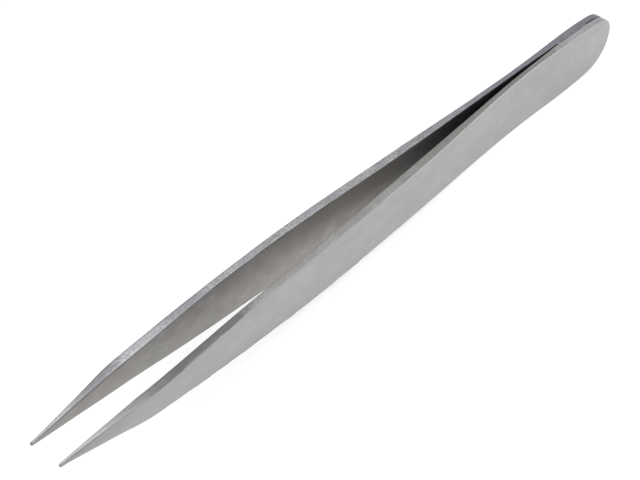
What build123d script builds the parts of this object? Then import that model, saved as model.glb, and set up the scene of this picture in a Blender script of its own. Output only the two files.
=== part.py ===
"""Precision tweezers: two spring-steel arms welded edge to edge at the butt.

The points are towards -X, the butt is towards +X, and +Z is up across the width of
the arms. The arms part along Y, the right one to +Y and the left one to -Y for a
hand that holds the butt. The pair stands on the lower long edges of its arms, and
its origin is on the ground below the middle of its box.

Each arm is one bent strip, and its zones are separate solids: the heel, which is
welded to the other heel, the grip and the jaw. The grip and the jaw swing together
about a vertical axis at the flexure line, on the strip's inner face, where closing
the pair only opens a hairline on the outer face.
"""

import os

from build123d import *

# Driving dimensions, in millimetres. A station is a distance from the points.
LENGTH = 120.0
JAW_END = 40.0                  # station where the jaw ends and the grip begins
FLEXURE = 98.0                  # station of the line that the grip and jaw swing about
HEEL = 108.0                    # station where the two inner faces meet
HEEL_FLAT = 110.0               # station where the flat outer face of the heel begins
HEEL_THICKNESS = 1.15

TIP_GAP = 2.12                  # from the middle plane to the inner face at the point
TIP_THICKNESS = 0.35
TIP_RADIUS = 0.28               # of the rounded point, seen from the side
TIP_SLOPE = 0.012               # how fast the inner face parts from X at the point

# Station, distance from the middle plane to the inner face, and thickness. The
# ground point begins at the first station, and the strip is thinned into a spring
# over the last two.
BEND = [
    (13.5, 2.36, 1.30),
    (30.0, 2.41, 1.08),
    (46.0, 2.15, 1.16),
    (60.0, 1.57, 1.26),
    (72.0, 1.06, 1.20),
    (84.0, 0.63, 0.88),
    (98.0, 0.15, 0.83),
]

# Station and half of the strip's width.
WIDTH = [
    (12.0, 1.76),
    (16.0, 2.06),
    (20.0, 2.45),
    (30.0, 3.42),
    (40.0, 3.92),
    (52.0, 4.18),
    (66.0, 4.32),
    (84.0, 4.83),
    (100.0, 5.20),
    (108.0, 5.12),
    (115.0, 4.80),
]
SHOULDER = (118.85, 3.25)       # station and half width on the rounded end
GRIND_SLOPE = 0.07              # how fast the half width grows behind the point
BUTT_SLOPE = -0.09              # and at the start of the rounded end

WELD_START = 105.5
WELD_END = 113.0
WELD_DEPTH = 1.0                # from the long edge inwards
WELD_HALF_WIDTH = 0.25          # how far the weld bites into each arm
WELD_CORNER = 0.4

MIDDLE = max(half for _, half in WIDTH)     # height that puts the long edges on Z = 0
REACH = MIDDLE + 1.0                        # half of a cutting block, past all metal


def along(station):
    """X of a station, with the middle of the length at X = 0."""
    return station - LENGTH / 2


def upright(x, height):
    """A plane along the length, facing -Y, with its origin at the given place."""
    return Plane((x, 0, height), x_dir=(1, 0, 0), z_dir=(0, -1, 0))


def arm_plan():
    """The right arm's strip seen from above, as a sketch at the middle height."""
    inner = [(along(0), TIP_GAP)]
    inner += [(along(station), gap) for station, gap, _ in BEND]
    inner += [(along(HEEL), 0)]
    outer = [(along(station), gap + thickness) for station, gap, thickness in BEND]
    outer += [(along(HEEL_FLAT), HEEL_THICKNESS)]
    ends = [(1, TIP_SLOPE), (1, 0)]
    with BuildSketch(Plane.XY.offset(MIDDLE)) as plan:
        with BuildLine():
            Spline(*inner, tangents=ends)
            Polyline(inner[-1], (along(LENGTH), 0), (along(LENGTH), HEEL_THICKNESS), outer[-1])
            Spline(*outer, tangents=ends)
            Polyline(outer[0], (along(0), TIP_GAP + TIP_THICKNESS), inner[0])
        make_face()
    return plan.sketch


def arm_side():
    """The strip seen from the side, as a sketch in the middle plane."""
    edge = [(along(station), half) for station, half in WIDTH]
    nose = (along(0), 0)
    nose_top = (along(TIP_RADIUS), TIP_RADIUS)
    shoulder = (along(SHOULDER[0]), SHOULDER[1])
    with BuildSketch(upright(0, MIDDLE)) as side:
        with BuildLine():
            RadiusArc(nose, nose_top, TIP_RADIUS)
            Line(nose_top, edge[0])
            Spline(*edge, tangents=[(1, GRIND_SLOPE), (1, BUTT_SLOPE)])
            Spline(edge[-1], shoulder, (along(LENGTH), 0), tangents=[(1, BUTT_SLOPE), (0, -1)])
            mirror(about=Plane.XZ)
        make_face()
    return side.sketch


def weld_side():
    """The upper edge weld seen from the side, before it is dressed to the outline."""
    tall = REACH - MIDDLE + WELD_DEPTH
    middle_x = along((WELD_START + WELD_END) / 2)
    with BuildSketch(upright(middle_x, MIDDLE + REACH)) as weld:
        RectangleRounded(WELD_END - WELD_START, 2 * tall, WELD_CORNER)
    return weld.sketch


# The two edge welds fill the seam and end flush with the long edges.
with BuildPart() as upper_weld:
    extrude(weld_side(), amount=WELD_HALF_WIDTH, both=True)
    extrude(arm_side(), amount=WELD_HALF_WIDTH, both=True, mode=Mode.INTERSECT)

with BuildPart() as lower_weld:
    mirror(upper_weld.part, about=Plane.XY.offset(MIDDLE))

# One whole arm: the bent strip within its outline, notched for the welds.
with BuildPart() as arm:
    extrude(arm_plan(), amount=REACH, both=True)
    extrude(arm_side(), amount=REACH, both=True, mode=Mode.INTERSECT)
    add(upper_weld.part, mode=Mode.SUBTRACT)
    add(lower_weld.part, mode=Mode.SUBTRACT)

jaw_cut = Plane.YZ.offset(along(JAW_END))
flexure_cut = Plane.YZ.offset(along(FLEXURE))

with BuildPart() as jaw:
    split(arm.part, bisect_by=jaw_cut, keep=Keep.BOTTOM)

with BuildPart() as grip:
    split(arm.part, bisect_by=jaw_cut, keep=Keep.TOP)
    split(bisect_by=flexure_cut, keep=Keep.BOTTOM)

with BuildPart() as heel:
    split(arm.part, bisect_by=flexure_cut, keep=Keep.TOP)

os.makedirs("parts", exist_ok=True)
for zone, right in (("jaw", jaw), ("grip", grip), ("heel", heel)):
    with BuildPart() as left:
        mirror(right.part, about=Plane.XZ)
    right.part.label = f"right_arm_{zone}"
    left.part.label = f"left_arm_{zone}"
    export_step(right.part, f"parts/{right.part.label}.step")
    export_step(left.part, f"parts/{left.part.label}.step")

upper_weld.part.label = "upper_weld"
lower_weld.part.label = "lower_weld"
export_step(upper_weld.part, "parts/upper_weld.step")
export_step(lower_weld.part, "parts/lower_weld.step")
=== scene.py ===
"""Looks for a pair of precision tweezers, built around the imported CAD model.

The frame is in metres: points at -X, butt at +X, the width of the arms along Z. Shapes
are worked out in millimetres and divided by MM when a mesh is made. A station is a
distance from the points along X.
"""

import math

import bpy
import numpy as np
from mathutils import Matrix, Vector


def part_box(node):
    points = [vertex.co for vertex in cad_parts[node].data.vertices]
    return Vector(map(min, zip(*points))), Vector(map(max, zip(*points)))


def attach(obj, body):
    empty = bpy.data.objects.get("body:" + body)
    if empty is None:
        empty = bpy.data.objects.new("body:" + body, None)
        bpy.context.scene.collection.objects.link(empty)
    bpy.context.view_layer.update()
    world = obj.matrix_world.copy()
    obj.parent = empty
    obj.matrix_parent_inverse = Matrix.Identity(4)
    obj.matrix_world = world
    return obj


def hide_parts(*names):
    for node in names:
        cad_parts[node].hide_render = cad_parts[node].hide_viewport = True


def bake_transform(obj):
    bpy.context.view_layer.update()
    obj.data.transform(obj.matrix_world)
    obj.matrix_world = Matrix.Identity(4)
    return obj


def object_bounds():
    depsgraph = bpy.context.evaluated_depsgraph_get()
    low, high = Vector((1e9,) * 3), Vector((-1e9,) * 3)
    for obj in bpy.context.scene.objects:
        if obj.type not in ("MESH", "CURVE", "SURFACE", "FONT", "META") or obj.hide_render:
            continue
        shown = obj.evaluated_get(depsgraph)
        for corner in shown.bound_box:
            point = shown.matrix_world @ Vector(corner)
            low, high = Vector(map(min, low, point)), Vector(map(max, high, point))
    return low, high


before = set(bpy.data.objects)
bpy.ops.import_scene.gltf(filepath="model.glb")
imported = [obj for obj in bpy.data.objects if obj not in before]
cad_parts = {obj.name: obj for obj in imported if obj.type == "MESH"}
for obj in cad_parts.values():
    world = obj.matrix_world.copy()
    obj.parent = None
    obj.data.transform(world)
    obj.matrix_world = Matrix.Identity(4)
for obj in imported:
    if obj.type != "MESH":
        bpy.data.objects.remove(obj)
cad_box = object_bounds()

MM = 1000.0

# Camera, fitted to the edges in the photo, with its place in millimetres.
CAMERA_PLACE = (-159.981, -96.448, 165.535)
CAMERA_RIGHT = (0.62163, -0.77471, 0.11575)
CAMERA_DOWN = (-0.46901, -0.48647, -0.73714)
CAMERA_LENS = 103.652

# Mesh layout of an arm.
ROWS = 18                       # across a broad face
ROUND_STEPS = 3                 # round each long edge of the strip
FLAT_STEPS = 4                  # between the two rounds
COLUMN_GAP = 0.5                # widest gap between columns along the outline
NOSE_GAP = 0.05                 # gap at the nose
NOSE_GROWTH = 0.05              # and how fast it widens from there
BUTT_GAP = 0.14
BUTT_GROWTH = 0.04
BORDER_ROW = 0.05               # height of the first row beside an edge
SAMPLE = 0.1                    # between samples of a face line
SUPPORT = 1.0                   # longest stretch of outline without a support
ROUND_UV = 0.06                 # width of a strip of the round on the grain map
FLAT_UV = 0.3

# Places in an arm's list of materials; the fourth is a painted dark line of shade along the
# inner round, the fifth a painted highlight along the left arm's outer round.
OUTER, INNER, EDGE, SHADE_BORDER, HIGHLIGHT_RIM = range(5)

# Hand-ground shape, in millimetres, but for shares and the numbers of a wobble.
SMOOTHING = 0.9                 # how widely the kinks of a face line are eased
EDGE_ROUND = 0.10               # of the outer long edge
INNER_ROUND = 0.08              # of the inner long edge
ROUND_SHARE = 0.42              # of the thickness that a round may take
POINT_CROWN = 0.16              # fall of the outer face from its ridge at the point
RIPPLE = 0.006                  # unevenness of the outer face and of the edge's flat
WELD_EDGE = 0.015               # inner round that is left beside a weld
BUTT_ROUND = 0.05               # added to the outer round at the butt
LEFT_POINT_ROUND = 0.11         # added to the left arm's outer round at the point
RIGHT_POINT_ROUND = 0.22        # added to the right arm's inner round at the point
SEAM_ROUND = 0.03               # added to the inner round along the seam
SEAM_DEPTH = 2.6                # how much deeper than wide the groove of the seam gets
OUTER_LEAST, INNER_LEAST = 0.03, 0.02
INNER_SHARE = 0.8               # of the outer round's room that the inner one may take
EDGE_COARSE, EDGE_FINE = 0.30, 0.12     # wobble of the outer round, in long and short waves
INNER_COARSE = {"left": 0.25, "right": 0.55}
INNER_FINE = 0.15

# Stations near the nose, and the most thickness that is counted there for the rounds.
NOSE_ROOM = ([0, 1, 3], [0.30, 0.34, 9.0])

# How far the easing of the inner round reaches outside a weld's end, and inside it.
WELD_OUTSIDE, WELD_INSIDE = 0.7, 0.5

# The left arm's extra outer round in the finger grip: even, in long and in short waves.
GRIP_ROUND, GRIP_COARSE, GRIP_FINE = 0.11, 0.09, 0.06

# Lengths of the waves in which hand grinding wobbles.
COARSE_WAVES = (23.0, 9.1, 4.3)
FINE_WAVES = (2.3, 1.13, 0.61)
FLAT_WAVES = (1.7, 0.83, 0.37)

# Stretches of an arm, as the two stations between which each sets in or fades.
CROWN_IN, CROWN_OUT = (-0.5, 1.6), (7.5, 17.0)
LEFT_POINT_OUT = (9, 20)
RIGHT_POINT_OUT = (10, 24)
RIPPLE_OUT = (30.0, 48.0)
GRIP_IN, GRIP_OUT = (15, 20), (56, 66)
SEAM_IN = (90, 100)
BUTT_IN = (106, 116)

# Stations where the edge's strips change material: to the painted shade along the inner
# round, and to the painted highlight along the left arm's outer round.
RIGHT_SHADE_FROM = 18
HIGHLIGHT_FROM = 60
SEAM_SHADE_FROM = 95

# Weld runs, in millimetres.
WELD_COLUMNS = 61
WELD_STEPS = 10                 # across the rounded top of a run
WELD_LEAST = 0.03               # least half width of a run
WELD_PROUD = 0.012              # how far its top stands above its rim
WELD_BELOW = 0.006              # how far its rim lies below the arms' edges
WELD_SUNK = 0.28                # and its underside

# Floor and light, in metres and watts.
FLOOR_SIZE = 3.0
OVERHEAD = {"place": (0.0, 0.0, 0.60), "size": 0.80, "power": 2.6}
SIDE = {"place": (0.45, -0.50, 0.30), "size": 0.35, "power": 0.45}
WORLD_COLOUR = (0.98, 0.99, 1.0, 1.0)
WORLD_STRENGTH = 0.66


# Curves read off the CAD.

def read_arm(side, middle):
    """The CAD arm's half outline, outer face and inner face, as points in millimetres.

    The floor of the weld's pocket faces inwards too, and isn't part of the inner face.
    """
    sign = 1 if side == "right" else -1
    weld_low, weld_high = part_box("upper_weld")
    outer, inner, rim = set(), set(), set()
    for part in ("jaw", "grip", "heel"):
        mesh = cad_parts[f"{side}_arm_{part}"].data
        places = [tuple(round(c * MM, 4) for c in v.co) for v in mesh.vertices]
        for face in mesh.polygons:
            facing = face.normal.y * sign
            group = outer if facing > 0.5 else inner if facing < -0.5 else rim
            group.update(places[i] for i in face.vertices)
    heights = {}
    for x, y, z in outer & rim:
        if z > middle:
            heights[x] = max(z, heights.get(x, z))
    outline = np.array(sorted(heights.items()))
    outer_line = np.array(sorted({(x, y * sign) for x, y, z in outer}))
    ahead, pocket = weld_low.x * MM - 1, weld_high.y * MM - 0.01
    inner_line = np.array(
        sorted({(x, y * sign) for x, y, z in inner if x < ahead or y * sign < pocket})
    )
    return outline, outer_line, inner_line


def smoothed(line, width):
    """A function of x through the line's points, with its kinks eased over that width."""
    x = np.arange(line[0, 0] - 6 * width, line[-1, 0] + 6 * width, SAMPLE)
    y = np.interp(x, line[:, 0], line[:, 1])
    before, after = x < line[0, 0], x > line[-1, 0]
    ahead = (line[:, 0] < line[0, 0] + 1.5).nonzero()[0][-1]
    slope = (line[ahead, 1] - line[0, 1]) / (line[ahead, 0] - line[0, 0])
    y[before] = line[0, 1] + slope * (x[before] - line[0, 0])
    y[after] = line[-1, 1]
    reach = np.arange(-4 * width, 4 * width + SAMPLE / 2, SAMPLE)
    kernel = np.exp(-0.5 * (reach / width) ** 2)
    y = np.convolve(np.pad(y, len(reach) // 2, mode="edge"), kernel / kernel.sum(), "valid")
    return lambda at: np.interp(at, x, y)


def half_outline(points, middle):
    """Places along the half outline from nose to butt, with their arc length.

    They lie on a smooth curve through the points, closest together at its two ends.
    """
    x_low, x_high = cad_box[0].x * MM, cad_box[1].x * MM
    inside = points[(points[:, 0] > x_low + 0.001) & (points[:, 0] < x_high - 0.001)]
    ends = np.array([[x_low, middle], [x_high, middle]])
    line = np.vstack([ends[:1], inside, ends[1:]])
    fine = [line[0]]
    for a, b in zip(line[:-1], line[1:]):
        count = max(1, math.ceil(np.linalg.norm(b - a) / SUPPORT))
        fine += [a + (b - a) * k / count for k in range(1, count + 1)]
    line = np.array(fine)
    mirror = np.array([1.0, -1.0])
    flip = np.array([0.0, 2.0 * middle])
    line = np.vstack([line[1] * mirror + flip, line, line[-2] * mirror + flip])
    along = np.concatenate([[0.0], np.cumsum(np.linalg.norm(np.diff(line, axis=0), axis=1))])
    gaps = np.diff(along)[:, None]
    slopes = np.diff(line, axis=0) / gaps
    tangents = (gaps[1:] * slopes[:-1] + gaps[:-1] * slopes[1:]) / (gaps[1:] + gaps[:-1])
    line, along, gaps = line[1:-1], along[1:-1] - along[1], gaps[1:-1]
    total = along[-1]
    places = [0.0]
    while places[-1] < total:
        s = places[-1]
        nose_gap = NOSE_GAP + NOSE_GROWTH * s
        butt_gap = BUTT_GAP + BUTT_GROWTH * max(0.0, total - s)
        places.append(s + min(COLUMN_GAP, nose_gap, butt_gap))
    places = np.array(places) * total / places[-1]
    k = np.clip(np.searchsorted(along, places, "right") - 1, 0, len(gaps) - 1)
    t = ((places - along[k]) / gaps[k, 0])[:, None]
    g = gaps[k]
    out = (
        (2 * t**3 - 3 * t**2 + 1) * line[k]
        + (t**3 - 2 * t**2 + t) * g * tangents[k]
        + (3 * t**2 - 2 * t**3) * line[k + 1]
        + (t**3 - t**2) * g * tangents[k + 1]
    )
    out[0], out[-1] = ends
    return out, places


def step(x, a, b):
    """Smooth step from 0 at a to 1 at b."""
    t = np.clip((x - a) / (b - a), 0.0, 1.0)
    return t * t * (3 - 2 * t)


def wander(s, seed, waves):
    """A repeatable wobble between -1 and 1 along s."""
    total = np.zeros_like(s, dtype=float)
    for k, wave in enumerate(waves):
        total += np.sin(2 * math.pi * s / wave + seed * (k + 1.3) * 2.1)
    return total / len(waves)


# Meshes.

def build_mesh(name, places, faces, kinds, uvs, materials):
    """An object with that mesh, in metres, with smooth shading and a grain UV map."""
    mesh = bpy.data.meshes.new(name)
    mesh.from_pydata([tuple(p) for p in np.asarray(places) / MM], [], faces)
    for material in materials:
        mesh.materials.append(material)
    mesh.polygons.foreach_set("material_index", kinds)
    mesh.polygons.foreach_set("use_smooth", [True] * len(faces))
    layer = mesh.uv_layers.new(name="grain")
    layer.data.foreach_set("uv", np.asarray(uvs, dtype=np.float32).ravel())
    mesh.update()
    made = bpy.data.objects.new(name, mesh)
    bpy.context.scene.collection.objects.link(made)
    return made


def arm_mesh(side, materials, seed):
    """One arm, as a continuous sheet with ground edges, a crowned point and a rounded butt."""
    sign = 1 if side == "right" else -1
    middle = (cad_box[0].z + cad_box[1].z) / 2 * MM
    outline, outer_line, inner_line = read_arm(side, middle)
    half, arc = half_outline(outline, middle)
    outer_y, inner_y = smoothed(outer_line, SMOOTHING), smoothed(inner_line, SMOOTHING)
    start = cad_box[0].x * MM
    weld_low, weld_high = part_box("upper_weld")
    weld = (weld_low.x * MM, weld_high.x * MM)

    count = len(half) - 1
    loop = np.vstack([half, (half[-2:0:-1] - [0, middle]) * [1, -1] + [0, middle]])
    loop_arc = np.concatenate([arc, arc[-2:0:-1]])
    size = len(loop)
    tangent = np.roll(loop, -1, axis=0) - np.roll(loop, 1, axis=0)
    tangent /= np.linalg.norm(tangent, axis=1)[:, None]
    inward = np.stack([tangent[:, 1], -tangent[:, 0]], axis=1)
    below = (np.arange(size) > count).astype(float)
    station = loop[:, 0] - start
    thickness = outer_y(loop[:, 0]) - inner_y(loop[:, 0])

    room = np.minimum(thickness, np.interp(station, *NOSE_ROOM)) * ROUND_SHARE
    coarse = wander(loop_arc + 31 * below, seed, COARSE_WAVES)
    fine = wander(loop_arc + 17 * below, seed + 2.6, FINE_WAVES)
    outer_round = EDGE_ROUND * (1.0 + EDGE_COARSE * coarse + EDGE_FINE * fine)
    grip = step(station, *GRIP_IN) * (1 - step(station, *GRIP_OUT))
    outer_round += BUTT_ROUND * step(station, *BUTT_IN)
    if side == "left":
        outer_round += grip * (GRIP_ROUND + GRIP_COARSE * coarse + GRIP_FINE * fine)
        outer_round += LEFT_POINT_ROUND * (1 - step(station, *LEFT_POINT_OUT))
    outer_round = np.clip(outer_round, OUTER_LEAST, room)
    inner_swing = INNER_COARSE[side] * coarse[::-1]
    inner_round = INNER_ROUND * (1.0 + inner_swing + INNER_FINE * fine[::-1])
    if side == "right":
        inner_round += RIGHT_POINT_ROUND * (1 - step(station, *RIGHT_POINT_OUT))
    in_weld = step(loop[:, 0], weld[0] - WELD_OUTSIDE, weld[0] + WELD_INSIDE) * (
        1 - step(loop[:, 0], weld[1] - WELD_INSIDE, weld[1] + WELD_OUTSIDE)
    )
    seam = step(station, *SEAM_IN)
    inner_round += SEAM_ROUND * seam
    inner_round = np.clip(inner_round, INNER_LEAST, room * INNER_SHARE)
    inner_round = inner_round * (1 - in_weld) + WELD_EDGE * in_weld
    inner_depth = inner_round * (1 + SEAM_DEPTH * seam * (1 - in_weld))

    def crown(x, z):
        """How far the outer face falls away from its ridge near the point."""
        at = x - start
        amount = POINT_CROWN * step(at, *CROWN_IN) * (1 - step(at, *CROWN_OUT))
        width = np.interp(x, half[:, 0], half[:, 1] - middle) + 1e-6
        across = np.clip(np.abs(z - middle) / np.maximum(width, 0.3), 0, 1.0)
        ridge = np.sqrt(across**2 + 0.01) - 0.1
        ripple = RIPPLE * np.sin(at * 1.9 + seed) * np.sin(z * 1.3 + at * 0.6 + seed)
        return amount * ridge + np.abs(ripple) * (1 - step(at, *RIPPLE_OUT))

    def outer_at(x, z):
        return outer_y(x) - crown(x, z)

    rings = []
    for k in range(ROUND_STEPS + 1):
        a = 0.5 * math.pi * k / ROUND_STEPS
        point = loop + inward * (outer_round * (1 - math.sin(a)))[:, None]
        y = outer_at(point[:, 0], point[:, 1]) - outer_round * (1 - math.cos(a))
        rings.append(np.stack([point[:, 0], y, point[:, 1]], axis=1))
    inner_rings = []
    for k in range(ROUND_STEPS + 1):
        a = 0.5 * math.pi * k / ROUND_STEPS
        point = loop + inward * (inner_depth * (1 - math.sin(a)))[:, None]
        y = inner_y(point[:, 0]) + inner_round * (1 - math.cos(a))
        inner_rings.append(np.stack([point[:, 0], y, point[:, 1]], axis=1))
    for k in range(1, FLAT_STEPS):
        f = k / FLAT_STEPS
        between = rings[ROUND_STEPS] * (1 - f) + inner_rings[ROUND_STEPS] * f
        rough = RIPPLE * np.abs(wander(loop_arc * (1 + 0.1 * k), seed + k, FLAT_WAVES))
        between[:, 0] += inward[:, 0] * rough
        between[:, 2] += inward[:, 1] * rough
        rings.append(between)
    rings += inner_rings[::-1]
    round_uv = [ROUND_UV] * ROUND_STEPS
    across = np.cumsum([0.0] + round_uv + [FLAT_UV] * FLAT_STEPS + round_uv)

    def strip_kind(k, at):
        """Material of the strip k round the edge, counted from the outer face, at a station."""
        # The left arm's outer round gets the painted highlight from its station on.
        if side == "left" and k < 2:
            return HIGHLIGHT_RIM if at > HIGHLIGHT_FROM else OUTER
        if k < ROUND_STEPS + FLAT_STEPS:
            return EDGE
        # The inner round gets the painted dark line of shade along the seam, and on the right arm
        # from near the point.
        if at > SEAM_SHADE_FROM or (side == "right" and at > RIGHT_SHADE_FROM):
            return SHADE_BORDER
        return INNER if k > ROUND_STEPS + FLAT_STEPS else EDGE

    places = [p for ring in rings for p in ring]
    faces, kinds, corners = [], [], []
    for k in range(len(rings) - 1):
        for i in range(size):
            j = (i + 1) % size
            quad = (k * size + i, k * size + j, (k + 1) * size + j, (k + 1) * size + i)
            faces.append(quad)
            kinds.append(strip_kind(k, station[i]))
            corners.append(
                [
                    (loop_arc[i], across[k]),
                    (loop_arc[j], across[k]),
                    (loop_arc[j], across[k + 1]),
                    (loop_arc[i], across[k + 1]),
                ]
            )

    def cover(ring, surface, kind, flip):
        """Fills one broad face from that ring with rows across."""
        base = ring * size
        rows = {0: [base] * (ROWS + 1), count: [base + count] * (ROWS + 1)}
        for i in range(1, count):
            top, bottom = base + i, base + size - i
            x, high = places[top][0], places[top][2] - middle
            border = min(BORDER_ROW, 0.2 * high)
            even = np.linspace(high - border, border - high, ROWS - 1)
            made = [top]
            for z in even:
                made.append(len(places))
                places.append(np.array([x, surface(x, middle + z), middle + z]))
            rows[i] = made + [bottom]
        for i in range(count):
            left, right = rows[i], rows[i + 1]
            for k in range(ROWS):
                quad = [left[k], right[k], right[k + 1], left[k + 1]]
                face = [v for n, v in enumerate(quad) if v not in quad[:n]]
                if len(face) < 3:
                    continue
                if flip:
                    face = face[::-1]
                faces.append(tuple(face))
                kinds.append(kind)
                corners.append([(places[v][0] - start, places[v][2]) for v in face])

    cover(0, outer_at, OUTER, True)
    cover(len(rings) - 1, lambda x, z: inner_y(x), INNER, False)
    places = np.array(places)
    places[:, 1] *= sign
    places[:, 1] = np.clip(places[:, 1], cad_box[0].y * MM, cad_box[1].y * MM)
    uvs = [uv for corner in corners for uv in corner]
    if sign > 0:
        faces = [tuple(reversed(f)) for f in faces]
        uvs = [uv for corner in corners for uv in reversed(corner)]
    made = build_mesh(f"{side}_arm", places, faces, kinds, uvs, materials)
    return made, half, middle


def weld_mesh(name, node, half, middle, material, seed):
    """A weld run along the seam, ground nearly flush with the edges of the arms."""
    low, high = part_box(node)
    up = 1 if (low.z + high.z) / 2 * MM > middle else -1
    x = np.linspace(low.x * MM, high.x * MM, WELD_COLUMNS)
    u = (x - x[0]) / (x[-1] - x[0])
    edge = np.interp(x, half[:, 0], half[:, 1] - middle)
    wide = high.y * MM * np.clip(1 - np.abs(2 * u - 1) ** 5, 0.0, 1.0) ** 0.5
    wide = np.maximum(wide * (0.86 + 0.12 * wander(x, seed, (2.9, 1.3, 0.7))), WELD_LEAST)
    places, faces, corners = [], [], []
    for i in range(len(x)):
        for k in range(WELD_STEPS + 1):
            a = math.pi * k / WELD_STEPS
            y = wide[i] * math.cos(a)
            proud = WELD_PROUD * math.sin(a) * min(1.0, wide[i] / 0.12)
            proud += 0.002 * math.sin(a) * math.sin(x[i] * 7.0 + 2.0 * math.sin(x[i] * 2.1))
            places.append((x[i], y, middle + up * (edge[i] - WELD_BELOW + proud)))
        places.append((x[i], -0.5 * wide[i], middle + up * (edge[i] - WELD_SUNK)))
        places.append((x[i], 0.5 * wide[i], middle + up * (edge[i] - WELD_SUNK)))
    ring = WELD_STEPS + 3
    for i in range(len(x) - 1):
        for k in range(ring):
            m = (k + 1) % ring
            face = (i * ring + k, i * ring + m, (i + 1) * ring + m, (i + 1) * ring + k)
            faces.append(face if up > 0 else face[::-1])
    faces.append(tuple(range(ring))[::-up])
    last = (len(x) - 1) * ring
    faces.append(tuple(range(last, last + ring))[::up])
    for face in faces:
        corners += [(places[v][0] - cad_box[0].x * MM, places[v][1]) for v in face]
    return build_mesh(name, places, faces, [0] * len(faces), corners, [material])


# Materials.

def node(tree, kind, inputs=None, **settings):
    """A shader node with its settings, and its inputs set or linked."""
    made = tree.nodes.new("ShaderNode" + kind)
    for key, value in settings.items():
        setattr(made, key, value)
    for key, value in (inputs or {}).items():
        if isinstance(value, bpy.types.NodeSocket):
            tree.links.new(value, made.inputs[key])
        else:
            made.inputs[key].default_value = value
    return made


def pattern(tree, uv, along, across, detail=3.0, rough=0.5, turn=0.0, shift=0.0):
    """Noise with features of that length and width in millimetres."""
    placed = node(
        tree,
        "Mapping",
        {
            "Vector": uv,
            "Location": (shift, shift * 0.7, shift * 1.3),
            "Rotation": (0, 0, turn),
            "Scale": (1 / along, 1 / across, 1),
        },
    )
    return node(
        tree,
        "TexNoise",
        {"Vector": placed.outputs[0], "Scale": 1.0, "Detail": detail, "Roughness": rough},
        noise_dimensions="2D",
    ).outputs[0]


def spread(tree, value, low, high, to_low, to_high):
    """Maps a value from one range to another, held at the ends."""
    return node(
        tree,
        "MapRange",
        {0: value, 1: low, 2: high, 3: to_low, 4: to_high},
        interpolation_type="SMOOTHSTEP",
    ).outputs[0]


def math_node(tree, operation, a, b):
    """The result of that operation on two values."""
    return node(tree, "Math", {0: a, 1: b}, operation=operation).outputs[0]


def mixed(tree, factor, a, b):
    """A colour between a and b."""
    made = node(tree, "Mix", {0: factor}, data_type="RGBA")
    for key, value in ((6, a), (7, b)):
        if isinstance(value, bpy.types.NodeSocket):
            tree.links.new(value, made.inputs[key])
        else:
            made.inputs[key].default_value = (*value, 1.0)
    return made.outputs[2]


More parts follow.
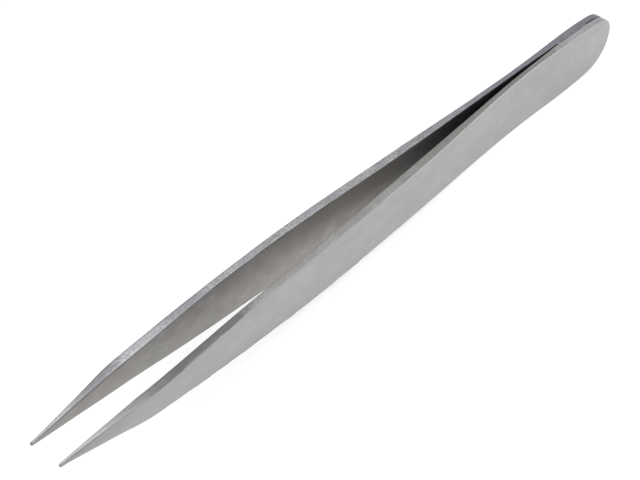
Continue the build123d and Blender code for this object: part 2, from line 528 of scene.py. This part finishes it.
def steel(name, light, dark, tint, roughness, grain, depth, painted_shading=(), heat=False,
          weights=(0.5, 0.2, 0.3)):
    """Ground steel: light and dark tones in blotches, a directional grain and fine scratches.

    The grain is the length and width of its lines, and the depth that of its relief. Each
    stretch of painted light or shade starts, is full, eases and ends at those stations, and
    has a shade and a strength.
    The weights are the shares of blotches, clouds and grain in the tone.
    """
    material = bpy.data.materials.new(name)
    material.use_nodes = True
    tree = material.node_tree
    tree.nodes.clear()
    uv = node(tree, "UVMap", uv_map="grain").outputs[0]

    blotch = pattern(tree, uv, 9.0, 5.0, detail=4.0, shift=3.1)
    cloud = pattern(tree, uv, 2.4, 1.7, detail=5.0, rough=0.6, shift=11.7)
    lines = pattern(tree, uv, grain[0], grain[1], detail=4.0, rough=0.6)
    hair = pattern(tree, uv, grain[0] * 0.35, grain[1] * 0.4, detail=2.0, shift=7.9)
    scratch_a = pattern(tree, uv, 6.0, 0.45, detail=1.0, turn=0.35, shift=5.3)
    scratch_b = pattern(tree, uv, 4.0, 0.30, detail=1.0, turn=-0.6, shift=9.4)

    def line_of(value):
        """Thin lines where the value crosses its middle."""
        off = math_node(tree, "ABSOLUTE", math_node(tree, "SUBTRACT", value, 0.5), 0.0)
        return spread(tree, off, 0.0, 0.007, 1.0, 0.0)

    scratches = math_node(tree, "MAXIMUM", line_of(scratch_a), line_of(scratch_b))
    sparse = pattern(tree, uv, 3.0, 2.0, detail=2.0, shift=21.0)
    sparse = spread(tree, sparse, 0.5, 0.62, 0.0, 1.0)
    scratches = math_node(tree, "MULTIPLY", scratches, sparse)

    tone = math_node(
        tree,
        "ADD",
        math_node(tree, "MULTIPLY", spread(tree, blotch, 0.3, 0.7, 0.0, 1.0), weights[0]),
        math_node(tree, "MULTIPLY", spread(tree, cloud, 0.3, 0.7, 0.0, 1.0), weights[1]),
    )
    ground = math_node(tree, "MULTIPLY", spread(tree, lines, 0.3, 0.7, 0.0, 1.0), weights[2])
    tone = math_node(tree, "ADD", tone, ground)
    colour = mixed(tree, tone, dark, light)
    tinge = pattern(tree, uv, 6.0, 4.0, detail=2.0, shift=31.0)
    tinge = spread(tree, tinge, 0.42, 0.62, 0.0, 0.5)
    colour = mixed(tree, tinge, colour, tint)
    # Painted light and shade: stretches of stations drawn towards a lighter or darker colour.
    for start, full, ease, end, shade, strength in painted_shading:
        place = node(tree, "SeparateXYZ", {0: uv}).outputs[0]
        ragged = pattern(tree, uv, 0.9, 0.5, detail=4.0, shift=start)
        place = math_node(tree, "ADD", place, spread(tree, ragged, 0.2, 0.8, -1.6, 1.6))
        inside = math_node(
            tree,
            "MULTIPLY",
            spread(tree, place, start, full, 0.0, 1.0),
            spread(tree, place, ease, end, 1.0, 0.0),
        )
        inside = math_node(tree, "MULTIPLY", inside, strength)
        colour = mixed(tree, inside, colour, shade)
    if heat:
        spots = pattern(tree, uv, 0.9, 0.4, detail=3.0, shift=4.0)
        spots = spread(tree, spots, 0.45, 0.6, 0.0, 0.8)
        colour = mixed(tree, spots, colour, (0.16, 0.15, 0.18))
    colour = mixed(tree, math_node(tree, "MULTIPLY", scratches, 0.35), colour, (0.75, 0.75, 0.74))

    rough = math_node(
        tree,
        "ADD",
        spread(tree, cloud, 0.25, 0.75, roughness - 0.05, roughness + 0.05),
        spread(tree, lines, 0.3, 0.7, -0.05, 0.05),
    )
    rough = math_node(tree, "SUBTRACT", rough, math_node(tree, "MULTIPLY", scratches, 0.10))

    height = math_node(
        tree,
        "ADD",
        math_node(tree, "MULTIPLY", lines, 0.7),
        math_node(tree, "MULTIPLY", hair, 0.3),
    )
    height = math_node(tree, "SUBTRACT", height, math_node(tree, "MULTIPLY", scratches, 0.5))
    bump = node(tree, "Bump", {"Strength": 0.6, "Distance": depth / MM, "Height": height})
    shader = node(
        tree,
        "BsdfPrincipled",
        {
            "Base Color": colour,
            "Metallic": 1.0,
            "Roughness": rough,
            "Normal": bump.outputs[0],
        },
    )
    output = node(tree, "OutputMaterial")
    tree.links.new(shader.outputs[0], output.inputs[0])
    return material


def floor_material():
    """Pale matt paper with a very faint mottle."""
    material = bpy.data.materials.new("pale_floor")
    material.use_nodes = True
    tree = material.node_tree
    shader = tree.nodes["Principled BSDF"]
    place = node(tree, "TexCoord").outputs["Object"]
    mottle = node(tree, "TexNoise", {"Vector": place, "Scale": 40.0, "Detail": 3.0})
    colour = mixed(tree, mottle.outputs[0], (0.33, 0.33, 0.33), (0.37, 0.37, 0.37))
    tree.links.new(colour, shader.inputs["Base Color"])
    shader.inputs["Emission Color"].default_value = (1, 1, 1, 1)
    shader.inputs["Emission Strength"].default_value = 0.73
    shader.inputs["Roughness"].default_value = 0.9
    shader.inputs["Specular IOR Level"].default_value = 0.1
    return material


satin = steel(
    "satin_face", (0.42, 0.415, 0.415), (0.36, 0.355, 0.355), (0.385, 0.37, 0.375),
    0.42, (4.0, 0.10), 0.004,
    # Painted shade: the outer face darker towards the points, up to about station 12.
    painted_shading=[(-3.0, -2.0, 5.0, 12.0, (0.33, 0.325, 0.325), 0.8)],
)
inner_face = steel(
    "inner_face", (0.46, 0.445, 0.43), (0.38, 0.365, 0.35), (0.41, 0.38, 0.36),
    0.46, (3.0, 0.12), 0.004,
    painted_shading=[
        # Painted shade: darker from the points to about station 60.
        (-3.0, -2.0, 26.0, 60.0, (0.29, 0.28, 0.27), 0.75),
        # Painted shade: nearly black from station 66 to the butt, where the arms close in on each
        # other.
        (66.0, 84.0, 130.0, 131.0, (0.13, 0.13, 0.14), 0.8),
    ],
)
# The near arm's top edge: the same ground steel as the far arm's, painted darker as its shaded
# copy.
shaded_near_edge = steel(
    "shaded_near_edge", (0.39, 0.385, 0.38), (0.25, 0.245, 0.24), (0.30, 0.29, 0.28),
    0.45, (0.30, 1.2), 0.006,
    painted_shading=[
        # Painted light: as light as the outer face at the point.
        (-3.0, -2.0, 5.0, 10.0, (0.41, 0.405, 0.41), 0.8),
        # Painted shade: a dark band from station 7 to 35.
        (7.0, 19.0, 29.0, 35.0, (0.14, 0.135, 0.14), 0.95),
        # Painted shade: darker from station 62 to 104.
        (62.0, 74.0, 96.0, 104.0, (0.24, 0.23, 0.215), 0.6),
        # Painted light: lighter at the butt.
        (101.0, 108.0, 130.0, 131.0, (0.48, 0.48, 0.49), 0.8),
    ],
    weights=(0.3, 0.2, 0.5),
)
far_edge = steel(
    "far_edge", (0.55, 0.555, 0.565), (0.17, 0.175, 0.18), (0.34, 0.345, 0.36),
    0.40, (0.28, 0.45), 0.006,
    painted_shading=[
        # Painted shade: a dark patch where the point's facet meets the edge.
        (5.0, 10.5, 13.0, 17.0, (0.18, 0.185, 0.20), 0.8),
        # Painted shade: darker from station 21 to 33.
        (21.0, 25.0, 28.0, 33.0, (0.20, 0.205, 0.22), 0.6),
        # Painted shade: darker and bluer from station 72 to the butt.
        (72.0, 92.0, 130.0, 131.0, (0.25, 0.25, 0.29), 0.75),
    ],
    weights=(0.15, 0.2, 0.65),
)
# Painted shade: a dark line along the inner round of the edge, lighter towards the points and
# darkest along the seam.
border = steel(
    "border", (0.19, 0.185, 0.185), (0.12, 0.115, 0.12), (0.15, 0.145, 0.14),
    0.5, (0.30, 1.6), 0.006,
    painted_shading=[
        (-3.0, -2.0, 20.0, 36.0, (0.38, 0.375, 0.37), 0.95),
        (90.0, 98.0, 130.0, 131.0, (0.09, 0.09, 0.10), 0.9),
    ],
)
# Painted highlight: a light strip along the left arm's outer round, fading in from station 60 to
# 74, and dimmer towards the butt.
rim = steel(
    "painted_highlight_rim", (0.66, 0.655, 0.65), (0.50, 0.495, 0.49), (0.58, 0.57, 0.565),
    0.36, (0.40, 1.2), 0.004,
    painted_shading=[
        (-3.0, -2.0, 60.0, 74.0, (0.42, 0.415, 0.415), 0.95),
        (102.0, 112.0, 130.0, 131.0, (0.46, 0.455, 0.455), 0.9),
    ],
)
weld_steel = steel(
    "weld_ground", (0.37, 0.37, 0.39), (0.22, 0.22, 0.24), (0.29, 0.28, 0.32),
    0.42, (0.25, 1.0), 0.006, heat=True,
)


# The two arms and the welds.

for arm_side, edge, arm_seed in (("left", shaded_near_edge, 1.0), ("right", far_edge, 4.0)):
    # border is the painted dark line of shade, rim the painted highlight.
    arm_materials = [satin, inner_face, edge, border, rim]
    arm, half_line, mid_height = arm_mesh(arm_side, arm_materials, arm_seed)
    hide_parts(f"{arm_side}_arm_heel", f"{arm_side}_arm_grip", f"{arm_side}_arm_jaw")
    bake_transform(arm)

for weld_name, weld_node, weld_seed in (
    ("weld_top", "upper_weld", 2.0),
    ("weld_bottom", "lower_weld", 6.0),
):
    weld = weld_mesh(weld_name, weld_node, half_line, mid_height, weld_steel, weld_seed)
    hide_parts(weld_node)
    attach(weld, "butt")


# Floor, light and camera.

def area_light(name, place, size, power):
    """A soft square light at a place, aimed at the origin."""
    lamp = bpy.data.lights.new(name, "AREA")
    lamp.shape = "SQUARE"
    lamp.size = size
    lamp.energy = power
    made = bpy.data.objects.new(name, lamp)
    made.location = place
    made.rotation_euler = (Vector() - Vector(place)).to_track_quat("-Z", "Y").to_euler()
    bpy.context.scene.collection.objects.link(made)


bpy.ops.mesh.primitive_plane_add(size=FLOOR_SIZE, location=(0, 0, cad_box[0].z))
floor = bpy.context.object
floor.name = "floor"
floor.data.materials.append(floor_material())

area_light("overhead", **OVERHEAD)
area_light("side", **SIDE)

world = bpy.data.worlds.new("studio")
world.use_nodes = True
background = world.node_tree.nodes["Background"]
background.inputs["Color"].default_value = WORLD_COLOUR
background.inputs["Strength"].default_value = WORLD_STRENGTH
bpy.context.scene.world = world
bpy.context.scene.view_settings.view_transform = "Standard"

camera_data = bpy.data.cameras.new("camera")
camera_data.lens = CAMERA_LENS
camera_data.clip_start = 0.01
camera = bpy.data.objects.new("camera", camera_data)
right = Vector(CAMERA_RIGHT).normalized()
back = right.cross(-Vector(CAMERA_DOWN)).normalized()
up = back.cross(right)
turned = Matrix((right, up, back)).transposed().to_4x4()
camera.matrix_world = Matrix.Translation(Vector(CAMERA_PLACE) / MM) @ turned
bpy.context.scene.collection.objects.link(camera)
bpy.context.scene.camera = camera
